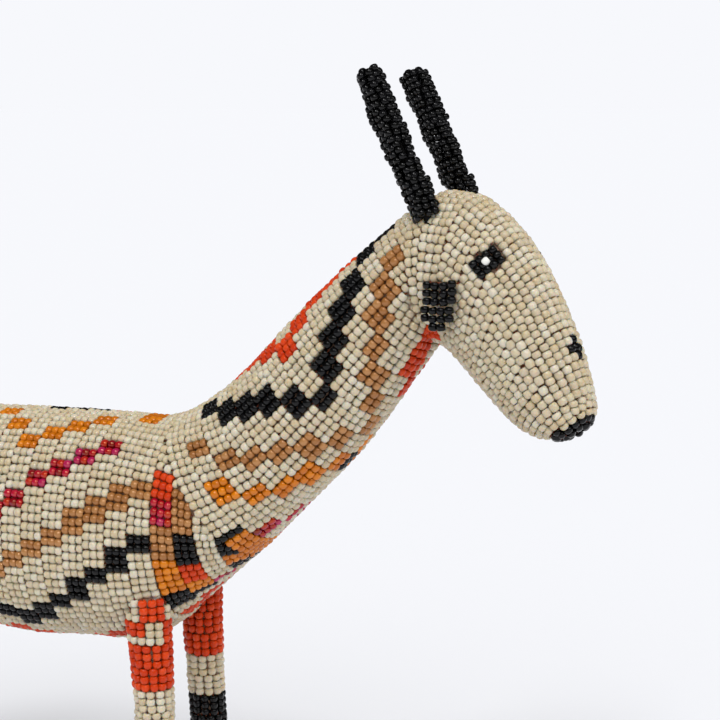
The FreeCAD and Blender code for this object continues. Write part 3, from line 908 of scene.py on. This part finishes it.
def in_a_leg(centre):
    """True for a place inside one of the leg tubes, where the beads are the leg's own."""
    for name in LEGS:
        x, y, _ = leg_middle(name, centre[2])
        if centre[2] < LEG_TOP - LEG_COVERED and math.hypot(centre[0] - x, centre[1] - y) < LEG_CORE:
            return True
    return False


def below_belly(centre):
    """True for a place under the trunk, or beside it."""
    reach, _ = TRUNK_SKIN.outer(Vector((centre[0], centre[1], TRUNK_Z)), -UP)
    return reach is None or centre[2] < TRUNK_Z - reach


def build_trunk():
    found = paint_body(body_sticks())
    found += paint_gussets(gusset_sticks())
    found += paint_lines(neck_sticks(), NECK_LINES_OF_BEADS)
    beads = []
    for stick in found:
        beads += strung(stick)
    owned(beads, TRUNK_SKIN, "body_beads")
    make_pieces([bead for bead in beads if not in_a_leg(bead["centre"])])
    make_thread("trunk_thread", found)


# The rhombus of each eye: left, top, right and bottom corners, along the head and up, from the pupil
EYE_CORNERS = [(-6.5, -0.9), (-0.6, 6.7), (4.1, 2.7), (-2.0, -4.9)]
EYE_FACING = (0.12, 0.917, 0.38)     # square to the skin at the left eye, before the head's turn
EYE_GRID = (4, 3)
EYE_CLEAR = 1.08         # the rhombus at this scale is clear of the head's own beads
EYE_BEAD = 2.55
EYE_RAISED = 0.35
PUPIL_RAISED = 1.0
EYE_SEARCH = 20.0        # the search for the skin under an eye's beads starts this far out
EYE_REACH = 12.0         # larger than an eye
EYE_LIFT, EYE_TIP, EYE_WIDTHS = 0.08, 0.3, (0.98, 1.06)    # unevenness
EYE_LONG = 0.93          # in widths
NOSTRILS = (154.8, -12.2, 195.0)     # between the two
NOSTRIL_BEADS = (3, 2)   # right and left
NOSE_FACING = head_turned(Vector((0.5, 0, -0.866)))
NOSE_DEPTH = 2.7


def node_middle(name):
    low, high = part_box(name)
    return (Vector(low) + Vector(high)) / 2 / MM


def in_polygon(a, b, corners):
    """True if (a, b) is inside the corners, which go clockwise."""
    return all((x2 - x1) * (b - y1) - (y2 - y1) * (a - x1) <= 0
               for (x1, y1), (x2, y2) in zip(corners, corners[1:] + corners[:1]))


def eye_frame(name):
    """The pupil's middle, along the head, up, and square out of the skin."""
    side = SIDES[name]
    facing = head_turned(Vector((EYE_FACING[0], side * EYE_FACING[1], EYE_FACING[2]))).normalized()
    along = head_turned(FORWARD)
    along = (along - facing * along.dot(facing)).normalized()
    return node_middle(f"{name}_pupil_bead"), along, along.cross(facing) * side, facing


def eye_beads(name):
    """A patch of black beads on the skin, with one white bead on its middle."""
    middle, along, up, facing = eye_frame(name)
    left, top, _, bottom = (np.array(corner) for corner in EYE_CORNERS)
    across, down = (top - left) / EYE_GRID[0], (bottom - left) / EYE_GRID[1]

    def bead_at(place, node, colour, raised, wide):
        over = middle + along * place[0] + up * place[1]
        hit = HEAD_SKIN.tree.ray_cast(over + facing * EYE_SEARCH, -facing)[0]
        centre = hit - facing * (BEAD / 2 - raised + rng.normal(0, EYE_LIFT))
        axis = along * across[0] + up * across[1] + facing * rng.normal(0, EYE_TIP)
        return {"centre": np.array(centre), "axis": np.array(axis), "wide": wide, "long": EYE_LONG * wide,
                "node": node, "colour": colour}

    beads = []
    for i in range(EYE_GRID[0]):
        for j in range(EYE_GRID[1]):
            place = left + across * (i + 0.5) + down * (j + 0.5)
            wide = EYE_BEAD * rng.uniform(*EYE_WIDTHS)
            beads.append(bead_at(place, f"{name}_eye_beads", "black", EYE_RAISED, wide))
    heart = left + across * EYE_GRID[0] / 2 + down * EYE_GRID[1] / 2
    beads.append(bead_at(heart, f"{name}_pupil_bead", "white", PUPIL_RAISED, EYE_BEAD))
    return beads


def mark_face(beads):
    """The eyes, nostrils and nose among the head's beads."""
    tip = max(float(np.dot(bead["centre"], NOSE_FACING)) for bead in beads)
    for bead in beads:
        bead["node"] = "head_beads"
        if np.dot(bead["centre"], NOSE_FACING) > tip - NOSE_DEPTH:
            bead["node"], bead["colour"] = "nose_beads", "black"
    for name in SIDES:
        middle, along, up, _ = eye_frame(name)
        heart = np.mean(EYE_CORNERS, axis=0)
        corners = [tuple(heart + EYE_CLEAR * (corner - heart)) for corner in np.array(EYE_CORNERS)]
        kept = []
        for bead in beads:
            off = Vector(bead["centre"]) - middle
            if off.length > EYE_REACH or not in_polygon(off.dot(along), off.dot(up), corners):
                kept.append(bead)
        beads = kept + eye_beads(name)
    nearest_first = sorted(beads, key=lambda b: (Vector(b["centre"]) - Vector(NOSTRILS)).length)
    near = nearest_first[:sum(NOSTRIL_BEADS)]
    for k, bead in enumerate(sorted(near, key=lambda b: b["centre"][1])):
        side = "right" if k < NOSTRIL_BEADS[0] else "left"
        bead["node"], bead["colour"] = f"{side}_nostril_beads", "black"
    return beads


def build_head():
    beads, found = [], paint_lines(head_sticks(), HEAD_LINES_OF_BEADS)
    make_thread("head_thread", found)
    for stick in found:
        beads += strung(stick)
    owned(beads, HEAD_SKIN, "head_beads")
    make_pieces(mark_face(beads))


# Orange in the collar at the top of each leg: ring, two turns round the leg from its outer side forwards,
# lowest height
COLLAR_BLOCKS = [(1, 0.03, 0.19, 0.0), (2, -0.20, 0.02, 93.5), (2, 0.20, 0.35, 0.0)]


def build_legs():
    for name in LEGS:
        found, skin = leg_sticks(name)
        for stick in found:
            turn = (stick["share"] + 0.5) % 1.0 - 0.5
            turn = turn if name.startswith("right") else 0.5 - abs(turn)
            stick["block"] = [down for ring, low, high, down in COLLAR_BLOCKS
                              if stick["ring"] == ring and low < turn < high]
        beads = []
        for stick in found:
            beads += [bead for bead in strung(stick)
                      if not stick["half_open"] or below_belly(bead["centre"])]
        owned(beads, skin, f"{name}_leg_cream_beads")
        for bead in beads:
            bead["colour"] = bead["node"].split("_")[-2]
            if any(bead["centre"][2] > down for down in bead["stick"]["block"]):
                bead["node"], bead["colour"] = f"{name}_leg_orange_beads", "orange"
        make_pieces(beads)
        make_thread(f"{name}_leg_stitching", found)


def build_horns_ears_tail():
    for name in SIDES:
        beads = []
        for stick in horn_sticks(name):
            beads += strung(stick, HORN_BEAD, HORN_LOOSE)
        beads += horn_cap(name)
        for bead in beads:
            bead["node"], bead["colour"] = f"{name}_horn_beads", "black"
        make_pieces(beads)
        make_pieces(ear_beads(name), f"{name}_ear")
        make_thread(f"{name}_ear_sewing", ear_threads(name), f"{name}_ear_thread")
    beads = []
    for stick in tail_sticks():
        beads += strung(stick)
    for bead in beads:
        bead["node"] = "tail_beads"
        bead["colour"] = "black" if bead["stick"]["ring"] >= TAIL_BLACK_FROM else "cream"
    make_pieces(beads)


def finish_nodes():
    """Materials for the CAD nodes that stay as they are."""
    cloth = woven("lining_cloth", (0.62, 0.42, 0.31), (0.44, 0.26, 0.17), 900.0, 0.9)
    leather = woven("sole_leather", (0.10, 0.055, 0.03), (0.05, 0.025, 0.014), 400.0, 0.7)
    fibre = roughened(plain("stuffing_fibre", (0.70, 0.67, 0.60), 1.0, 0.1), "Noise", 600.0, 1.0, 0.001)
    steel = roughened(plain("wire_steel", (0.45, 0.45, 0.46), 0.35, 0.5, 1.0), "Wave", 1200.0, 0.2, 0.0001)
    wrapped = woven("wrapped_wire", (0.012, 0.011, 0.011), (0.004, 0.004, 0.004), 1200.0, 0.9)
    for name, node in frame["nodes"].items():
        ending = name.rsplit("_", 1)[-1]
        looks = {"lining": cloth, "sole": leather, "stuffing": fibre, "padding": fibre, "wire": steel,
                 "thread": thread_shade()}
        if ending in looks:
            node.data.materials.clear()
            node.data.materials.append(wrapped if name.endswith("horn_wire") else looks[ending])


make_camera()
make_light()
make_floor()
build_trunk()
build_head()
build_legs()
build_horns_ears_tail()
finish_nodes()
